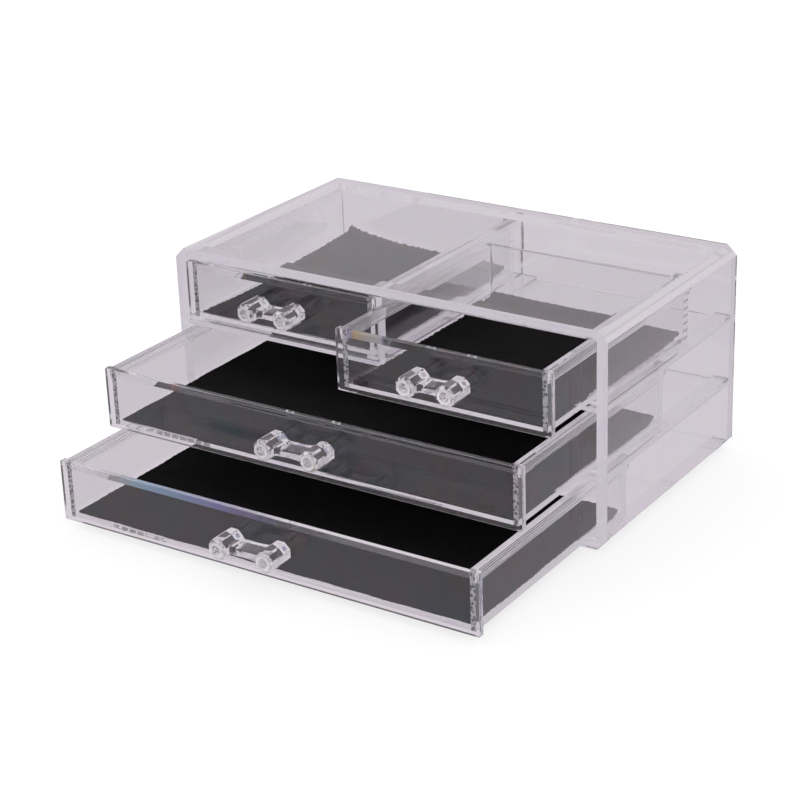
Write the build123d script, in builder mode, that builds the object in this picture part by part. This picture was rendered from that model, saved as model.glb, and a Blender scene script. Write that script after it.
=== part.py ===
from build123d import *
from collections import namedtuple
import os

# Clear desktop organiser: a case with four drawers, two wide ones below two small ones.
# Millimetres. X runs along the width, -Y points to the front and +Z up. The origin is the
# centre of the whole footprint, open drawers included, on the plane under the feet.

# Case
case_width = 240.0
case_depth = 132.0
side_wall = 5.4
back_thickness = 2.5
base_thickness = 2.2
shelf_thickness = 2.2
divider_thickness = 3.4
top_thickness = 2.2
mouth_headroom = 1.4
edge_chamfer = 5.0
edge_round = 0.4
bond_gap = 0.05

# Raised border on top of the case
border_height = 2.7
border_side_width = 8.4
border_end_width = 8.0
border_slope_run = 3.1
border_corner_round = 4.0

# Feet
foot_height = 1.2
foot_width = 9.5
foot_length = 12.0
foot_inset = 0.6
foot_chamfer = 0.6

# Drawer fronts
panel_height = 30.2
panel_thickness = 3.0
panel_gap = 0.5
panel_side_gap = 0.7
panel_corner_round = 0.8
panel_edge_round = 0.4
bevel_height = 4.3
bevel_depth = 1.2

# Drawer trays
drawer_rear_gap = 1.0
tray_inset = 2.8
tray_wall = 2.5
tray_floor = 2.0
tray_lift = 1.5
tray_corner_round = 1.0
rim_height = 5.8
rim_overhang = 1.2
rim_bevel_height = 0.8
rim_bevel_run = 0.7
rim_tier_height = 3.8
rim_tier_step = 0.5

# Runner strips that the trays slide on
runner_width = 8.0
runner_clearance = 0.3
runner_end_gap = 0.3

# Handles
post_across_flats = 9.6
post_length = 14.0
post_sides = 8
post_chamfer = 1.3
dimple_radius = 2.3
dimple_depth = 2.2
dimple_tip_radius = 0.6
web_flare_height = 6.4
web_waist_height = 3.7
web_front_setback = 3.5
web_rear_setback = 1.5
peg_radius = 2.0
peg_clearance = 0.1
peg_recess = 0.2
wide_post_spacing = 25.5
small_post_spacing = 21.0

# Liners
liner_thickness = 0.8
liner_side_margin = 0.5
liner_front_margin = 0.6
liner_rear_margin = 2.0

# How far each drawer stands open
bottom_opening = 99.8
middle_opening = 64.1
top_right_opening = 38.7
top_left_opening = 0.0

# Levels and planes that several pieces share
widest_opening = max(bottom_opening, middle_opening, top_right_opening, top_left_opening)
front_y = (widest_opening + post_length - case_depth) / 2
rear_y = front_y + case_depth
case_middle_y = (front_y + rear_y) / 2
back_inner_y = rear_y - back_thickness
drawer_length = back_inner_y - drawer_rear_gap - front_y
inner_half_width = case_width / 2 - side_wall
bay_height = panel_height + 2 * panel_gap
bay_pitch = bay_height + shelf_thickness
base_top = foot_height + base_thickness
upper_shelf_top = base_top + 2 * bay_pitch
mouth_top = upper_shelf_top + panel_gap + panel_height + mouth_headroom
plate_top = mouth_top + top_thickness
case_top = plate_top + border_height

# Ends of the drawer fronts, at the case's sides and at the divider
outer_end = inner_half_width - panel_side_gap
divider_end = divider_thickness / 2 + panel_side_gap

Bay = namedtuple("Bay", "name left right level opening post_spacing")
bays = [
    Bay("bottom", -outer_end, outer_end, 0, bottom_opening, wide_post_spacing),
    Bay("middle", -outer_end, outer_end, 1, middle_opening, wide_post_spacing),
    Bay("top_left", -outer_end, -divider_end, 2, top_left_opening, small_post_spacing),
    Bay("top_right", divider_end, outer_end, 2, top_right_opening, small_post_spacing),
]


def facing_front(x, y):
    # Upright plane through (x, y) whose local x is +X, local y is +Z and normal is -Y
    return Plane(origin=(x, y, 0), x_dir=(1, 0, 0), z_dir=(0, -1, 0))


def lying_flat(x, y, z):
    # Level plane through (x, y, z) that faces up
    return Plane(origin=(x, y, z), z_dir=(0, 0, 1))


def panel_bottom(bay):
    return base_top + bay.level * bay_pitch + panel_gap


def rim_top(bay):
    return panel_bottom(bay) + panel_height


def panel_front_y(bay):
    return front_y - bay.opening


def bay_centre(bay):
    return (bay.left + bay.right) / 2


def tunnel_outline(gap):
    # Inner outline of the case, drawn smaller by a gap all round
    with BuildSketch() as outline:
        with Locations((0, (base_top + mouth_top) / 2)):
            Rectangle(2 * (inner_half_width - gap), mouth_top - base_top - 2 * gap)
    return outline.sketch


def make_case_shell():
    outer_height = case_top - foot_height
    tunnel = tunnel_outline(0)
    with BuildPart() as shell:
        with BuildSketch(facing_front(0, rear_y)) as outline:
            with Locations((0, foot_height + outer_height / 2)):
                Rectangle(case_width, outer_height)
            chamfer(outline.vertices(), edge_chamfer)
        extrude(amount=case_depth)
        front_loop = shell.faces().sort_by(Axis.Y)[0].edges()
        rear_loop = shell.faces().sort_by(Axis.Y)[-1].edges()
        fillet(front_loop + rear_loop, edge_round)

        with BuildSketch(facing_front(0, rear_y)):
            add(tunnel)
        extrude(amount=case_depth, mode=Mode.SUBTRACT)

        # Recess in the top, with sloping sides and rounded corners
        lip_width = case_width - 2 * border_side_width
        lip_depth = case_depth - 2 * border_end_width
        slopes = 2 * border_slope_run
        with BuildSketch(lying_flat(0, case_middle_y, plate_top)):
            RectangleRounded(lip_width - slopes, lip_depth - slopes, border_corner_round)
        with BuildSketch(lying_flat(0, case_middle_y, case_top)):
            RectangleRounded(lip_width, lip_depth, border_corner_round)
        loft(mode=Mode.SUBTRACT)
    return shell.part


def make_back_panel():
    tunnel = tunnel_outline(bond_gap)
    with BuildPart() as back:
        with BuildSketch(facing_front(0, rear_y)):
            add(tunnel)
        extrude(amount=back_thickness)
    return back.part


def make_shelf(level):
    underside = base_top + level * bay_pitch - shelf_thickness
    length = back_inner_y - bond_gap - front_y
    with BuildPart() as shelf:
        with BuildSketch(lying_flat(0, front_y + length / 2, underside)):
            Rectangle(2 * (inner_half_width - bond_gap), length)
        extrude(amount=shelf_thickness)
        front_edges = shelf.edges().filter_by(Axis.X).group_by(Axis.Y)[0]
        fillet(front_edges, edge_round)
    return shelf.part


def make_divider():
    bottom = upper_shelf_top + bond_gap
    top = mouth_top - bond_gap
    with BuildPart() as divider:
        with BuildSketch(facing_front(0, back_inner_y - bond_gap)):
            with Locations((0, (bottom + top) / 2)):
                Rectangle(divider_thickness, top - bottom)
        extrude(amount=back_inner_y - bond_gap - front_y)
        front_edges = divider.edges().filter_by(Axis.Z).group_by(Axis.Y)[0]
        fillet(front_edges, edge_round)
    return divider.part


def make_feet():
    spacing_x = case_width - 2 * edge_chamfer - foot_width
    spacing_y = case_depth - 2 * foot_inset - foot_length
    with BuildPart() as feet:
        with BuildSketch(lying_flat(0, case_middle_y, 0)):
            with GridLocations(spacing_x, spacing_y, 2, 2):
                Rectangle(foot_width, foot_length)
        extrude(amount=foot_height - bond_gap)
        chamfer(feet.edges().filter_by(Axis.Y).group_by(Axis.Z)[0], foot_chamfer)
    return feet.part


def make_runners(bay):
    # A low strip at each side of the bay, bonded to the shelf or base below it
    seat = panel_bottom(bay) - panel_gap + bond_gap
    height = panel_gap + tray_lift - runner_clearance - bond_gap
    front = front_y + panel_thickness + runner_end_gap
    rear = back_inner_y - bond_gap
    left_wall = bay.left - panel_side_gap + bond_gap
    right_wall = bay.right + panel_side_gap - bond_gap
    with BuildPart() as runners:
        for centre_x in (left_wall + runner_width / 2, right_wall - runner_width / 2):
            with BuildSketch(lying_flat(centre_x, (front + rear) / 2, seat)):
                Rectangle(runner_width, rear - front)
            extrude(amount=height)
    return runners.part


def make_front(bay):
    width = bay.right - bay.left
    bottom = panel_bottom(bay)
    centre = bay_centre(bay)
    middle_z = bottom + panel_height / 2
    face_y = panel_front_y(bay)
    with BuildPart() as front:
        with BuildSketch(facing_front(centre, face_y + panel_thickness)) as face:
            with Locations((0, middle_z)):
                Rectangle(width, panel_height)
            fillet(face.vertices(), panel_corner_round)
        extrude(amount=panel_thickness)
        fillet(front.faces().sort_by(Axis.Y)[0].edges(), panel_edge_round)

        # Bevel along the back of the top edge, between the tray's side walls
        bevel_half = width / 2 - tray_inset - tray_wall
        top = bottom + panel_height
        back_y = face_y + panel_thickness
        with BuildSketch(Plane.YZ.offset(centre - bevel_half)):
            with BuildLine():
                Polyline(
                    (back_y, top - bevel_height),
                    (back_y, top),
                    (back_y - bevel_depth, top),
                    close=True,
                )
            make_face()
        extrude(amount=2 * bevel_half, mode=Mode.SUBTRACT)

        with BuildSketch(facing_front(centre, back_y)):
            with Locations((-bay.post_spacing / 2, middle_z), (bay.post_spacing / 2, middle_z)):
                Circle(peg_radius + peg_clearance)
        extrude(amount=panel_thickness, mode=Mode.SUBTRACT)
    return front.part


def make_tray(bay):
    half = (bay.right - bay.left) / 2
    outer = half - tray_inset
    inner = outer - tray_wall
    rim = outer + rim_overhang
    top = rim_top(bay)
    under = panel_bottom(bay) + tray_lift
    rear = panel_front_y(bay) + drawer_length
    front = panel_front_y(bay) + panel_thickness + bond_gap
    with BuildPart() as tray:
        with BuildSketch(facing_front(bay_centre(bay), rear)):
            with BuildLine():
                Polyline(
                    (0, under),
                    (outer, under),
                    (outer, top - rim_height),
                    (rim - rim_tier_step, top - rim_height),
                    (rim - rim_tier_step, top - rim_tier_height),
                    (rim, top - rim_tier_height),
                    (rim, top - rim_bevel_height),
                    (rim - rim_bevel_run, top),
                    (inner, top),
                    (inner, under + tray_floor),
                    (0, under + tray_floor),
                )
                mirror(about=Plane.YZ)
            make_face()
        extrude(amount=rear - front)
        with BuildSketch(facing_front(bay_centre(bay), rear)):
            with Locations((0, (under + top) / 2)):
                Rectangle(2 * outer, top - under)
        extrude(amount=tray_wall)
        upright = tray.edges().filter_by(Axis.Z)
        inner_corners = upright.filter_by_position(
            Axis.Y, rear - tray_wall - 0.01, rear - tray_wall + 0.01
        )
        fillet(inner_corners, tray_corner_round)
    return tray.part


def make_handle(bay):
    middle_z = panel_bottom(bay) + panel_height / 2
    face_y = panel_front_y(bay)
    half_spacing = bay.post_spacing / 2
    post_tip_y = face_y - post_length
    spots = [(-half_spacing, middle_z), (half_spacing, middle_z)]
    with BuildPart() as handle:
        with BuildSketch(facing_front(bay_centre(bay), face_y - bond_gap)):
            with Locations(*spots):
                RegularPolygon(
                    post_across_flats / 2,
                    post_sides,
                    major_radius=False,
                    rotation=180 / post_sides,
                )
        extrude(amount=post_length - bond_gap)
        tips = handle.faces().filter_by(Axis.Y).group_by(Axis.Y)[0]
        chamfer(tips.edges(), post_chamfer)

        # Web between the posts, drawn in at its waist
        flare = web_flare_height / 2
        waist = web_waist_height / 2
        with BuildSketch(facing_front(bay_centre(bay), face_y - web_rear_setback)):
            with BuildLine():
                ThreePointArc(
                    (-half_spacing, middle_z + flare),
                    (0, middle_z + waist),
                    (half_spacing, middle_z + flare),
                )
                Line((half_spacing, middle_z + flare), (half_spacing, middle_z - flare))
                ThreePointArc(
                    (half_spacing, middle_z - flare),
                    (0, middle_z - waist),
                    (-half_spacing, middle_z - flare),
                )
                Line((-half_spacing, middle_z - flare), (-half_spacing, middle_z + flare))
            make_face()
        extrude(amount=post_length - web_front_setback - web_rear_setback)

        # Conical dimple in the tip of each post
        for spot in spots:
            with BuildSketch(facing_front(bay_centre(bay), post_tip_y)):
                with Locations(spot):
                    Circle(dimple_radius)
            with BuildSketch(facing_front(bay_centre(bay), post_tip_y + dimple_depth)):
                with Locations(spot):
                    Circle(dimple_tip_radius)
            loft(mode=Mode.SUBTRACT)

        # Pegs that seat in the drawer front
        with BuildSketch(facing_front(bay_centre(bay), face_y + panel_thickness - peg_recess)):
            with Locations(*spots):
                Circle(peg_radius)
        extrude(amount=panel_thickness - peg_recess + bond_gap)
    return handle.part


def make_liner(bay):
    inner_width = bay.right - bay.left - 2 * (tray_inset + tray_wall)
    bed = panel_bottom(bay) + tray_lift + tray_floor
    front = panel_front_y(bay) + panel_thickness + liner_front_margin
    rear = panel_front_y(bay) + drawer_length - tray_wall - liner_rear_margin
    with BuildPart() as liner:
        with BuildSketch(lying_flat(bay_centre(bay), (front + rear) / 2, bed)):
            Rectangle(inner_width - 2 * liner_side_margin, rear - front)
        extrude(amount=liner_thickness)
    return liner.part


pieces = {
    "case_shell": make_case_shell(),
    "back_panel": make_back_panel(),
    "lower_shelf": make_shelf(1),
    "upper_shelf": make_shelf(2),
    "centre_divider": make_divider(),
    "case_feet": make_feet(),
}
for bay in bays:
    pieces[bay.name + "_runners"] = make_runners(bay)
    pieces[bay.name + "_drawer_tray"] = make_tray(bay)
    pieces[bay.name + "_drawer_front"] = make_front(bay)
    pieces[bay.name + "_drawer_handle"] = make_handle(bay)
    pieces[bay.name + "_drawer_liner"] = make_liner(bay)

os.makedirs("parts", exist_ok=True)
for name, piece in pieces.items():
    piece.label = name
    export_step(piece, "parts/" + name + ".step")
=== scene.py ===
import math

import bpy
from mathutils import Matrix, Vector


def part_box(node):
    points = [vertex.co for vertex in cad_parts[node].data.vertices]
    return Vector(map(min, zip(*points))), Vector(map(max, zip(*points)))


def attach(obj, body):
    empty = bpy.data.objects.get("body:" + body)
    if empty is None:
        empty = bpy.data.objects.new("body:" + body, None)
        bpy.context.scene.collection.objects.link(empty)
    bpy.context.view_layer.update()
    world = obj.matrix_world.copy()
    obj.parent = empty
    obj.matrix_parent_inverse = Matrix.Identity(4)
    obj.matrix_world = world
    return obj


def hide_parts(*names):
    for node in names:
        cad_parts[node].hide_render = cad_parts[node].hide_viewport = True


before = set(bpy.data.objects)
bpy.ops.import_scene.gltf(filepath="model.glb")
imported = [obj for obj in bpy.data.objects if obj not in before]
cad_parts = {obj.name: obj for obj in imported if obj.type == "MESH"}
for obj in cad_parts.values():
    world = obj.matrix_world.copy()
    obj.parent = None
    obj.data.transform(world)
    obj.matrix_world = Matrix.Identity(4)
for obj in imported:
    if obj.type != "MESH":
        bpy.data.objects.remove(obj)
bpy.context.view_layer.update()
print("stage: frame loaded")

bpy.ops.object.select_all(action="DESELECT")
scene = bpy.context.scene
scene.view_settings.view_transform = "Standard"
# Light crosses many plates and runs far along their edges before it leaves
lightLimits = {"bounces": 96, "shadows": 40}
scene.cycles.max_bounces = lightLimits["bounces"]
scene.cycles.transmission_bounces = lightLimits["bounces"]
scene.cycles.glossy_bounces = lightLimits["bounces"]
scene.cycles.transparent_max_bounces = lightLimits["shadows"]

caseLow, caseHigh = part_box("case_shell")
caseMiddle = (caseLow + caseHigh) / 2
drawerNames = ["bottom_drawer", "middle_drawer", "top_left_drawer", "top_right_drawer"]


class Value:
    # A shader socket that plain Python arithmetic works on
    def __init__(self, shader, socket):
        self.shader = shader
        self.socket = socket

    def math(self, operation, *others):
        return self.shader.node("ShaderNodeMath", {"operation": operation}, [self, *others])

    def __add__(self, other):
        return self.math("ADD", other)

    def __sub__(self, other):
        return self.math("SUBTRACT", other)

    def __mul__(self, other):
        return self.math("MULTIPLY", other)

    def __truediv__(self, other):
        return self.math("DIVIDE", other)

    def __pow__(self, other):
        return self.math("POWER", other)

    def __gt__(self, other):
        return self.math("GREATER_THAN", other)

    def __lt__(self, other):
        return self.math("LESS_THAN", other)

    def __abs__(self):
        return self.math("ABSOLUTE")

    def __rsub__(self, other):
        return self.shader.node("ShaderNodeMath", {"operation": "SUBTRACT"}, [other, self])

    __radd__ = __add__
    __rmul__ = __mul__


class Shader:
    # A material or world and the nodes that are added to it
    def __init__(self, owner):
        self.owner = owner
        owner.use_nodes = True
        self.tree = owner.node_tree
        self.tree.nodes.clear()
        forWorld = isinstance(owner, bpy.types.World)
        kind = "ShaderNodeOutputWorld" if forWorld else "ShaderNodeOutputMaterial"
        self.output = self.tree.nodes.new(kind)

    def node(self, kind, settings=None, inputs=None, out=0):
        made = self.tree.nodes.new(kind)
        for key, setting in (settings or {}).items():
            if key == "stops":
                setStops(made.color_ramp, setting)
            else:
                setattr(made, key, setting)
        pairs = inputs.items() if isinstance(inputs, dict) else enumerate(inputs or [])
        for key, given in pairs:
            if isinstance(given, Value):
                self.tree.links.new(given.socket, made.inputs[key])
            else:
                made.inputs[key].default_value = given
        if isinstance(out, tuple):
            return [Value(self, made.outputs[key]) for key in out]
        return Value(self, made.outputs[out])

    def split(self, vector):
        return self.node("ShaderNodeSeparateXYZ", inputs=[vector], out=("X", "Y", "Z"))

    def noise(self, place, scale, detail=0.0, out="Fac"):
        settings = {"Vector": place, "Scale": scale, "Detail": detail}
        return self.node("ShaderNodeTexNoise", inputs=settings, out=out)

    def mix(self, factor, first, second):
        return self.node("ShaderNodeMixShader", inputs=[factor, first, second])

    def matte(self, colour):
        settings = {"Base Color": colour, "Roughness": 1.0, "Specular IOR Level": 0.0}
        return self.node("ShaderNodeBsdfPrincipled", inputs=settings)

    def finish(self, surface):
        self.tree.links.new(surface.socket, self.output.inputs["Surface"])
        return self.owner


def setStops(ramp, stops):
    while len(ramp.elements) < len(stops):
        ramp.elements.new(0.5)
    for element, (place, colour) in zip(ramp.elements, stops):
        element.position = place
        element.color = (*colour, 1)[:4]


clearPlastic = {
    "stressScale": 34,
    # The plastic's tint varies at random, and its faint pink, blue and green hues are a painted
    # sheen of the rainbow that stress in the plastic splits from light
    "stress": [
        (0.30, (0.996, 0.980, 0.984)),
        (0.42, (0.984, 0.972, 0.996)),
        (0.50, (0.988, 0.979, 0.988)),
        (0.58, (0.976, 0.986, 0.982)),
        (0.70, (0.980, 0.976, 0.998)),
    ],
    "ior": 1.49,
    "roughness": 0.003,
    "smudgeScale": 55,
    "smudgePower": 4,
    "smudge": 0.05,
    "waveScale": 22,
    "waviness": 0.00002,
    "lampsPass": (0.965, 0.96, 0.965, 1),
    "deepest": 36,
    # Colour of the painted glow that ends light caught deep inside a plate
    "caught": (0.56, 0.53, 0.57, 1),
    "hueScale": 62,
    # Colours of the dust haze: real dust, with rainbow hues that are a painted sheen of split
    # light
    "dustAndSheenHues": [
        (0.30, (1.00, 0.66, 0.34)),
        (0.42, (0.94, 0.44, 0.84)),
        (0.50, (0.70, 0.64, 0.72)),
        (0.58, (0.36, 0.84, 0.64)),
        (0.70, (0.42, 0.48, 1.00)),
    ],
    "haze": 0.019,
    "cloudScale": 90,
    "leastCloud": 0.4,
    "cloudSwing": 1.2,
    "speckCell": 130,
    "speckSize": 0.030,
    "speckStrength": 0.22,
    "scratchPower": 9,
    "scratchStrength": 0.05,
    "cutEdgeTint": (0.81, 0.81, 0.86, 1),
    "cutEdgeReach": 0.0015,
    "cutEdgeTurn": 0.3,
    "squareOn": 0.9,
}
# How fine each part's patterns are, how wavy its faces, and which way its scratches run
plasticLooks = {
    "case": {"scale": 1.0, "wave": 1.0, "along": (900, 40, 900)},
    "front": {"scale": 1.4, "wave": 1.0, "along": (40, 900, 900)},
    "tray": {"scale": 1.4, "wave": 1.0, "along": (900, 40, 900)},
    "handle": {"scale": 3.0, "wave": 0.3, "along": (400, 400, 400)},
}
drawerEdges = {
    "sawnRoughness": 0.22,
    "wallHalf": 0.00125,
    "rimOverhang": 0.0012,
    "seamReach": 0.0002,
    "bubbleScale": 620,
    "glue": [
        (0.10, (0.045, 0.047, 0.052)),
        (0.32, (0.11, 0.11, 0.12)),
        (0.46, (0.55, 0.55, 0.58)),
        (0.62, (0.82, 0.81, 0.84)),
    ],
    "glueRoughness": 0.35,
    "glueStrength": 0.72,
    "glueDepth": 3,
    "rimHeight": 0.0058,
    "rimTurn": 0.5,
    "ribPitch": 0.00125,
    "ribDepth": 0.0001,
    "plainEnd": 0.004,
    "bevelTurn": (0.2, 0.4),
}
# The posts' front ends are a little frosted, and their matte white is also a painted highlight of
# the light they catch
postEnds = {"depth": 0.0004, "frostAndHighlight": (0.93, 0.92, 0.94, 1), "strength": 0.7}
# Painted glint: colours that the bevel behind each front panel splits off, along the panel's width
bevelFlash = {
    "bottom_drawer": [
        (0.06, (0.90, 0.88, 0.90, 0.0)),
        (0.14, (0.94, 0.92, 0.88, 0.65)),
        (0.19, (0.52, 0.80, 0.98, 0.88)),
        (0.30, (0.50, 0.68, 0.96, 0.84)),
        (0.40, (0.50, 0.48, 0.92, 0.70)),
        (0.50, (0.48, 0.44, 0.70, 0.38)),
        (0.56, (0.40, 0.40, 0.50, 0.0)),
    ],
    "middle_drawer": [
        (0.165, (0.80, 0.45, 0.30, 0.0)),
        (0.180, (0.80, 0.45, 0.30, 0.5)),
        (0.200, (0.30, 0.34, 0.60, 0.15)),
        (0.300, (0.30, 0.34, 0.60, 0.0)),
    ],
    "top_left_drawer": [
        (0.300, (0.75, 0.50, 0.30, 0.0)),
        (0.315, (0.75, 0.50, 0.30, 0.5)),
        (0.335, (0.35, 0.40, 0.62, 0.15)),
        (0.450, (0.35, 0.40, 0.62, 0.0)),
    ],
    "top_right_drawer": [
        (0.040, (0.30, 0.40, 0.75, 0.0)),
        (0.060, (0.54, 0.54, 0.92, 0.70)),
        (0.085, (1.00, 0.74, 0.44, 0.95)),
        (0.140, (1.00, 0.94, 0.82, 0.96)),
        (0.215, (0.96, 0.98, 1.00, 0.96)),
        (0.235, (0.30, 0.36, 0.66, 0.0)),
    ],
}


def letLightOut(shader, surface):
    # Lamps shine through, and light that is caught inside a plate ends in a painted glow of the
    # room's colour
    lampRay, depth = shader.node("ShaderNodeLightPath", out=("Is Shadow Ray", "Ray Depth"))
    room = shader.node("ShaderNodeEmission", inputs={"Color": clearPlastic["caught"]})
    kept = shader.mix(depth > clearPlastic["deepest"], surface, room)
    passing = shader.node("ShaderNodeBsdfTransparent", inputs={"Color": clearPlastic["lampsPass"]})
    shader.owner.cycles.emission_sampling = "NONE"
    return shader.mix(lampRay, kept, passing)


def addDustAndSheen(shader, place, surface, look):
    # A breath of dust, specks and hairline scratches that shows over dark things; their rainbow
    # colours are a painted sheen of split light
    hues = shader.node(
        "ShaderNodeValToRGB",
        {"stops": clearPlastic["dustAndSheenHues"]},
        [shader.noise(place, clearPlastic["hueScale"] * look["scale"], 1.0)],
        out="Color",
    )
    cloud = shader.noise(place, clearPlastic["cloudScale"] * look["scale"], 2.0)
    stretched = shader.node(
        "ShaderNodeVectorMath", {"operation": "MULTIPLY"}, [place, look["along"]]
    )
    scratch = shader.noise(stretched, 1.0, 2.0) ** clearPlastic["scratchPower"]
    toSpeck = shader.node(
        "ShaderNodeTexVoronoi",
        inputs={"Vector": place, "Scale": clearPlastic["speckCell"]},
        out="Distance",
    )
    speck = toSpeck < clearPlastic["speckSize"]
    fromInside = shader.node("ShaderNodeNewGeometry", out="Backfacing")
    amount = (
        clearPlastic["haze"] * (clearPlastic["leastCloud"] + clearPlastic["cloudSwing"] * cloud)
        + clearPlastic["speckStrength"] * speck
        + clearPlastic["scratchStrength"] * scratch
    ) * (1 - fromInside)
    return shader.mix(amount, surface, shader.matte(hues))


def addGlue(shader, place, surface, seam):
    # The bonded seam between a tray's wall and its front panel, full of small bubbles
    toBubble = shader.node(
        "ShaderNodeTexVoronoi",
        inputs={"Vector": place, "Scale": drawerEdges["bubbleScale"]},
        out="Distance",
    )
    colour = shader.node(
        "ShaderNodeValToRGB", {"stops": drawerEdges["glue"]}, [toBubble], out="Color"
    )
    glue = shader.node(
        "ShaderNodeBsdfPrincipled",
        inputs={"Base Color": colour, "Roughness": drawerEdges["glueRoughness"]},
    )
    # Bubbles that are mirrored far along a plate's edge are left out
    depth = shader.node("ShaderNodeLightPath", out="Ray Depth")
    amount = seam * (depth < drawerEdges["glueDepth"]) * drawerEdges["glueStrength"]
    return shader.mix(amount, surface, glue)


def addFlash(shader, surface, across, bevel, drawer):
    # A painted glint of split colours on the bevel behind a front panel
    colour, strength = shader.node(
        "ShaderNodeValToRGB", {"stops": bevelFlash[drawer]}, [across], out=("Color", "Alpha")
    )
    return shader.mix(bevel * strength, surface, shader.matte(colour))


def addFrostAndHighlight(shader, surface, y, deep, drawer):
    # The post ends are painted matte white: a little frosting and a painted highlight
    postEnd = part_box(drawer + "_handle")[0].y
    onEnd = (y < postEnd + postEnds["depth"]) * (deep > clearPlastic["squareOn"])
    return shader.mix(onEnd * postEnds["strength"], surface, shader.matte(postEnds["frostAndHighlight"]))


def makeClearPlastic(part, drawer=""):
    look = plasticLooks[part]
    shader = Shader(bpy.data.materials.new((drawer + "_" + part if drawer else part) + "Plastic"))
    place, normal = shader.node("ShaderNodeTexCoord", out=("Object", "Normal"))
    x, y, z = shader.split(place)
    sideways, deep, upward = [abs(turn) for turn in shader.split(normal)]
    squareOn = clearPlastic["squareOn"]
    tint = shader.node(
        "ShaderNodeValToRGB",
        {"stops": clearPlastic["stress"]},
        [shader.noise(place, clearPlastic["stressScale"] * look["scale"], 1.5)],
        out="Color",
    )
    smudge = shader.noise(place, clearPlastic["smudgeScale"] * look["scale"], 4.0)
    smudge = smudge ** clearPlastic["smudgePower"]
    roughness = clearPlastic["roughness"] + smudge * clearPlastic["smudge"]
    wave = shader.noise(place, clearPlastic["waveScale"] * look["scale"])
    height = wave * (clearPlastic["waviness"] * look["wave"])
    if part == "case":
        nearMouth = y < caseLow.y + clearPlastic["cutEdgeReach"]
        tint = shader.node(
            "ShaderNodeMix",
            {"data_type": "RGBA", "blend_type": "MULTIPLY"},
            {
                "Factor": nearMouth * (deep > clearPlastic["cutEdgeTurn"]),
                "A": tint,
                "B": clearPlastic["cutEdgeTint"],
            },
            out=2,
        )
    if part in ("front", "tray"):
        frontLow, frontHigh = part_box(drawer + "_front")
        trayLow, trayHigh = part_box(drawer + "_tray")
        wallHalf = drawerEdges["wallHalf"]
        wallAt = (trayHigh.x - trayLow.x) / 2 - drawerEdges["rimOverhang"] - wallHalf
        toWall = abs(abs(x - (trayHigh.x + trayLow.x) / 2) - wallAt)
        atBond = abs(y - frontHigh.y) < drawerEdges["seamReach"]
        atSeam = atBond * (z < trayHigh.z) * (z > trayLow.z)
        seam = (toWall < wallHalf) * atSeam * (deep > squareOn)
    if part == "front":
        roughness = roughness + (sideways > squareOn) * drawerEdges["sawnRoughness"]
    if part == "tray":
        rib = (z * (2 * math.pi / drawerEdges["ribPitch"])).math("SINE")
        onRim = (z > trayHigh.z - drawerEdges["rimHeight"]) * (sideways > drawerEdges["rimTurn"])
        onRim = onRim * (y < trayHigh.y - drawerEdges["plainEnd"])
        height = height + rib * onRim * drawerEdges["ribDepth"]
    bump = shader.node("ShaderNodeBump", inputs={"Distance": 1.0, "Height": height})
    surface = shader.node(
        "ShaderNodeBsdfPrincipled",
        inputs={
            "Base Color": tint,
            "Roughness": roughness,
            "IOR": clearPlastic["ior"],
            "Transmission Weight": 1.0,
            "Normal": bump,
        },
    )
    surface = addDustAndSheen(shader, place, surface, look)
    if part in ("front", "tray"):
        surface = addGlue(shader, place, surface, seam)
    if part == "front":
        across = (x - frontLow.x) / (frontHigh.x - frontLow.x)
        least, most = drawerEdges["bevelTurn"]
        surface = addFlash(shader, surface, across, (upward > least) * (upward < most), drawer)
    if part == "handle":
        surface = addFrostAndHighlight(shader, surface, y, deep, drawer)
    return shader.finish(letLightOut(shader, surface))


def dress(node, material):
    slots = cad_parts[node].data.materials
    slots.clear()
    slots.append(material)


casePlastic = makeClearPlastic("case")
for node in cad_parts:
    dress(node, casePlastic)
for drawer in drawerNames:
    for part in ("front", "tray", "handle"):
        dress(drawer + "_" + part, makeClearPlastic(part, drawer))
print("stage: clear pieces dressed")

linerFoam = {
    "colour": (0.0050, 0.0047, 0.0051, 1),
    "fleck": (0.016, 0.015, 0.015, 1),
    "cellScale": 900,
    "cloudScale": 40,
    "bumpStrength": 0.3,
    "bumpDistance": 0.0004,
    "roughness": 0.9,
    "shine": 0.2,
}


def makeLinerFoam():
    shader = Shader(bpy.data.materials.new("linerFoam"))
    place = shader.node("ShaderNodeTexCoord", out="Object")
    cells = shader.node(
        "ShaderNodeTexVoronoi",
        inputs={"Vector": place, "Scale": linerFoam["cellScale"]},
        out="Distance",
    )
    clouds = shader.noise(place, linerFoam["cloudScale"], 3.0)
    colour = shader.node(
        "ShaderNodeMix",
        {"data_type": "RGBA"},
        {"Factor": clouds * (1 - cells), "A": linerFoam["colour"], "B": linerFoam["fleck"]},
        out=2,
    )
    bump = shader.node(
        "ShaderNodeBump",
        inputs={
            "Strength": linerFoam["bumpStrength"],
            "Distance": linerFoam["bumpDistance"],
            "Height": cells,
        },
    )
    surface = shader.node(
        "ShaderNodeBsdfPrincipled",
        inputs={
            "Base Color": colour,
            "Roughness": linerFoam["roughness"],
            "Specular IOR Level": linerFoam["shine"],
            "Normal": bump,
        },
    )
    return shader.finish(surface)


linerMaterial = makeLinerFoam()
liner = {
    "cell": 0.001,
    "thickness": 0.0006,
    "lift": 0.0001,
    "ripple": 0.00006,
    "rippleTurns": (61, 47),
    "scallopPitch": 0.0042,
    "frontScallop": 0.0002,
    "edgePower": 20,
    "drift": 0.0006,
    "driftPitch": 0.023,
    "driftStretch": 2.63,
    "phases": (1.7, 0.6, 0.9),
    "rearReach": 0.0016,
    "rearLift": 0.0020,
    "rearRun": 0.009,
    "curlRun": 0.085,
    "curlPower": 1.25,
    "curlSpread": 0.021,
}
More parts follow.
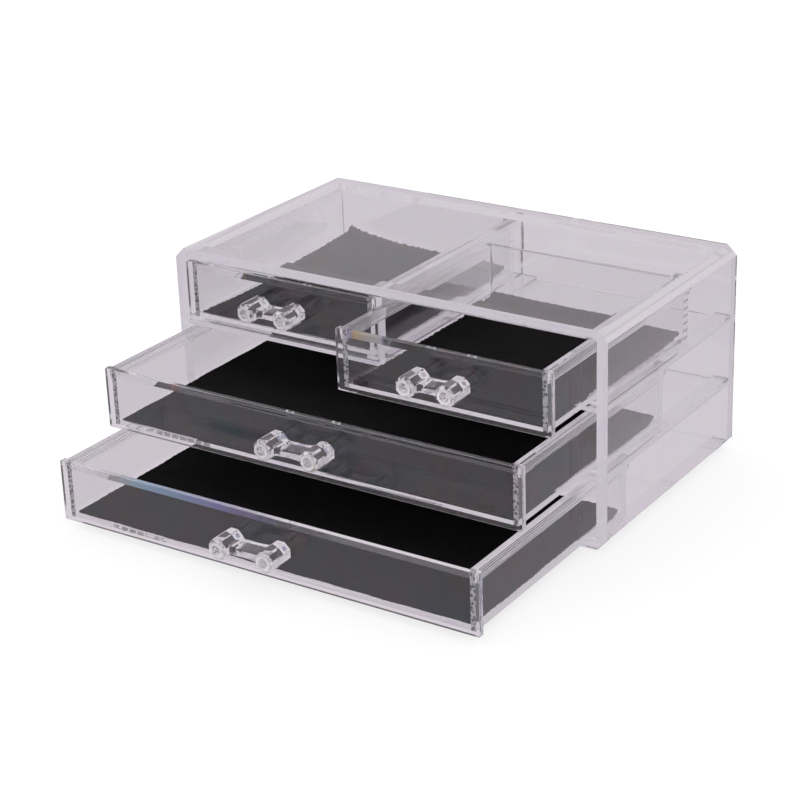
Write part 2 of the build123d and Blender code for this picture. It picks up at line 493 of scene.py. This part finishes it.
# Each sheet's ragged side and rear edges, how far its left edge leans in at the rear,
# and how high its rear left corner has curled up
linerHabits = {
    "bottom_drawer": {"scallop": 0.0004, "rearScallop": 0.0009, "lean": 0.0, "curl": 0.0006},
    "middle_drawer": {"scallop": 0.0003, "rearScallop": 0.0009, "lean": 0.0, "curl": 0.0008},
    "top_left_drawer": {"scallop": 0.0010, "rearScallop": 0.0018, "lean": 0.0052, "curl": 0.0064},
    "top_right_drawer": {"scallop": 0.0011, "rearScallop": 0.0009, "lean": 0.0006, "curl": 0.0008},
}


def edgeWander(along, seed, scallop):
    # How far in from a straight line the cut edge lies at a place along it
    first, second, third = [phase * seed for phase in liner["phases"]]
    longPitch = liner["driftStretch"] * liner["driftPitch"]
    slow = math.sin(2 * math.pi * along / liner["driftPitch"] + first)
    slower = math.sin(2 * math.pi * along / longPitch + second)
    quick = abs(math.sin(math.pi * along / liner["scallopPitch"] + third + slow))
    return liner["drift"] * (2 + slow + slower) / 4 + scallop * quick


def makeLiner(drawer, seed):
    habit = linerHabits[drawer]
    low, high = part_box(drawer + "_liner")
    width = high.x - low.x
    length = high.y + liner["rearReach"] - low.y
    middleX, middleY = (low.x + high.x) / 2, low.y + length / 2
    turnsX, turnsY = liner["rippleTurns"]
    countX = round(width / liner["cell"])
    countY = round(length / liner["cell"])
    bpy.ops.mesh.primitive_grid_add(x_subdivisions=countX, y_subdivisions=countY, size=1)
    sheet = bpy.context.object
    sheet.name = drawer + "_linerSheet"
    for vertex in sheet.data.vertices:
        u, v = vertex.co.x * 2, vertex.co.y * 2
        x, y = vertex.co.x * width, vertex.co.y * length
        sideStray = edgeWander(y, seed + (1 if u > 0 else 5), habit["scallop"])
        endScallop = habit["rearScallop"] if v > 0 else liner["frontScallop"]
        endStray = edgeWander(x, seed + (2 if v > 0 else 7), endScallop)
        ripple = math.sin(x * turnsX + seed) * math.sin(y * turnsY + 2 * seed)
        lean = habit["lean"] * (1 - u) / 2 * (1 + v) / 2
        toRear = length / 2 - y
        climb = max(0, 1 - toRear / liner["rearRun"]) ** 2 * liner["rearLift"]
        curl = max(0, 1 - toRear / liner["curlRun"]) ** liner["curlPower"] * habit["curl"]
        curl *= math.exp(-(x + width / 2) / liner["curlSpread"])
        # Only the outermost rows follow the ragged cut
        sideways = math.copysign(sideStray, u) * abs(u) ** liner["edgePower"]
        endways = math.copysign(endStray, v) * abs(v) ** liner["edgePower"]
        vertex.co.x = middleX + x + lean - sideways
        vertex.co.y = middleY + y - endways
        vertex.co.z = low.z + liner["lift"] + liner["ripple"] * (1 + ripple) + climb + curl
    solid = sheet.modifiers.new("thickness", "SOLIDIFY")
    solid.thickness = liner["thickness"]
    solid.offset = 1.0
    bpy.ops.object.modifier_apply(modifier=solid.name)
    bpy.ops.object.shade_smooth_by_angle(angle=math.radians(40))
    sheet.data.materials.append(linerMaterial)
    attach(sheet, drawer)
    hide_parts(drawer + "_liner")
    bpy.ops.object.select_all(action="DESELECT")


for seed, drawer in enumerate(drawerNames):
    makeLiner(drawer, seed)
print("stage: liners laid")

studio = {
    "floorSize": 14.0,
    "paper": (0.9, 0.9, 0.9, 1),
    "paperShown": 0.35,
    "whiteShown": 1.16,
    "poolAt": (0.0, 0.1, 0.0),
    "poolReach": 0.5,
    "seenNear": (0.71, 0.660, 0.707, 1),
    "seenFar": (0.66, 0.612, 0.66, 1),
    "mirrored": (0.70, 0.71, 0.74, 1),
    "airSeen": (0.66, 0.625, 0.66, 1),
    "airLight": (0.84, 0.84, 0.84, 1),
    "lampsAim": 0.05,
}


def makeFloor():
    bpy.ops.mesh.primitive_plane_add(size=studio["floorSize"], location=(0, 0, -0.0002))
    floor = bpy.context.object
    floor.name = "floor"
    shader = Shader(bpy.data.materials.new("floorPaper"))
    place = shader.node("ShaderNodeTexCoord", out="Object")
    isCamera, isGlossy, isThrough = shader.node(
        "ShaderNodeLightPath", out=("Is Camera Ray", "Is Glossy Ray", "Is Transmission Ray")
    )
    # Painted pool of light: the floor that the plates mirror and show through is brighter near the
    # case
    toPool = shader.node(
        "ShaderNodeVectorMath", {"operation": "DISTANCE"}, [place, studio["poolAt"]], out="Value"
    )
    seen = shader.node(
        "ShaderNodeMix",
        {"data_type": "RGBA"},
        {
            "Factor": toPool / studio["poolReach"],
            "A": studio["seenNear"],
            "B": studio["seenFar"],
        },
        out=2,
    )
    # Painted reflection: the plates mirror a slightly darker floor than the one seen through them
    seen = shader.node(
        "ShaderNodeMix",
        {"data_type": "RGBA", "blend_type": "MULTIPLY"},
        {"Factor": isGlossy > isThrough, "A": seen, "B": studio["mirrored"]},
        out=2,
    )
    paper = shader.matte(studio["paper"])
    behind = shader.node("ShaderNodeEmission", inputs={"Color": seen, "Strength": 1.0})
    white = shader.node(
        "ShaderNodeEmission", inputs={"Color": (1, 1, 1, 1), "Strength": studio["whiteShown"]}
    )
    shown = shader.mix(studio["paperShown"], white, paper)
    lit = shader.mix(isGlossy + isThrough, paper, behind)
    floor.data.materials.append(shader.finish(shader.mix(isCamera, lit, shown)))
    bpy.ops.object.select_all(action="DESELECT")


def makeWorld():
    shader = Shader(bpy.data.worlds.new("studioAir"))
    isGlossy, isThrough = shader.node(
        "ShaderNodeLightPath", out=("Is Glossy Ray", "Is Transmission Ray")
    )
    light = shader.node("ShaderNodeBackground", inputs={"Color": studio["airLight"]})
    seen = shader.node("ShaderNodeBackground", inputs={"Color": studio["airSeen"]})
    scene.world = shader.finish(shader.mix(isGlossy + isThrough, light, seen))


# The boxes show as reflections only: seen through the plates they would burn out their edges
softboxes = [
    {"name": "topBox", "at": (0.0, 0.2, 1.9), "size": (3.0, 3.0), "power": 4.5},
    {"name": "leftBox", "at": (-2.2, -0.9, 1.5), "size": (2.4, 2.4), "power": 4.0},
    {"name": "rightBox", "at": (2.3, -0.5, 1.4), "size": (2.4, 2.4), "power": 4.0},
]


def makeSoftbox(box):
    light = bpy.data.lights.new(box["name"], "AREA")
    light.shape = "RECTANGLE"
    light.size, light.size_y = box["size"]
    light.energy = box["power"]
    lamp = bpy.data.objects.new(box["name"], light)
    lamp.location = box["at"]
    lamp.visible_transmission = False
    aim = Vector((caseMiddle.x, caseMiddle.y, studio["lampsAim"])) - Vector(box["at"])
    lamp.rotation_euler = aim.to_track_quat("-Z", "Y").to_euler()
    scene.collection.objects.link(lamp)


makeFloor()
makeWorld()
for box in softboxes:
    makeSoftbox(box)
print("stage: studio lit")

photoView = {
    "azimuth": 31.94,
    "elevation": 22.12,
    "roll": -1.16,
    "distance": 1.0371,
    "target": (0.01339, 0.0, 0.05005),
    "lens": 94.7,
    "shift": (-0.1, -0.05),
}


def makeCamera():
    turn = math.radians(photoView["azimuth"])
    rise = math.radians(photoView["elevation"])
    roll = math.radians(photoView["roll"])
    back = Vector(
        (math.sin(turn) * math.cos(rise), -math.cos(turn) * math.cos(rise), math.sin(rise))
    )
    right = Vector((math.cos(turn), math.sin(turn), 0))
    up = back.cross(right)
    leanRight = math.cos(roll) * right + math.sin(roll) * up
    leanUp = math.cos(roll) * up - math.sin(roll) * right
    target = Vector(photoView["target"]) + Vector((0, caseMiddle.y, 0))
    camera = bpy.data.objects.new("photoCamera", bpy.data.cameras.new("photoCamera"))
    axes = Matrix((leanRight, leanUp, back)).transposed().to_4x4()
    camera.matrix_world = Matrix.Translation(target + back * photoView["distance"]) @ axes
    camera.data.lens = photoView["lens"]
    camera.data.sensor_width = 36.0
    camera.data.shift_x, camera.data.shift_y = photoView["shift"]
    scene.collection.objects.link(camera)
    scene.camera = camera


makeCamera()
print("stage: camera placed")
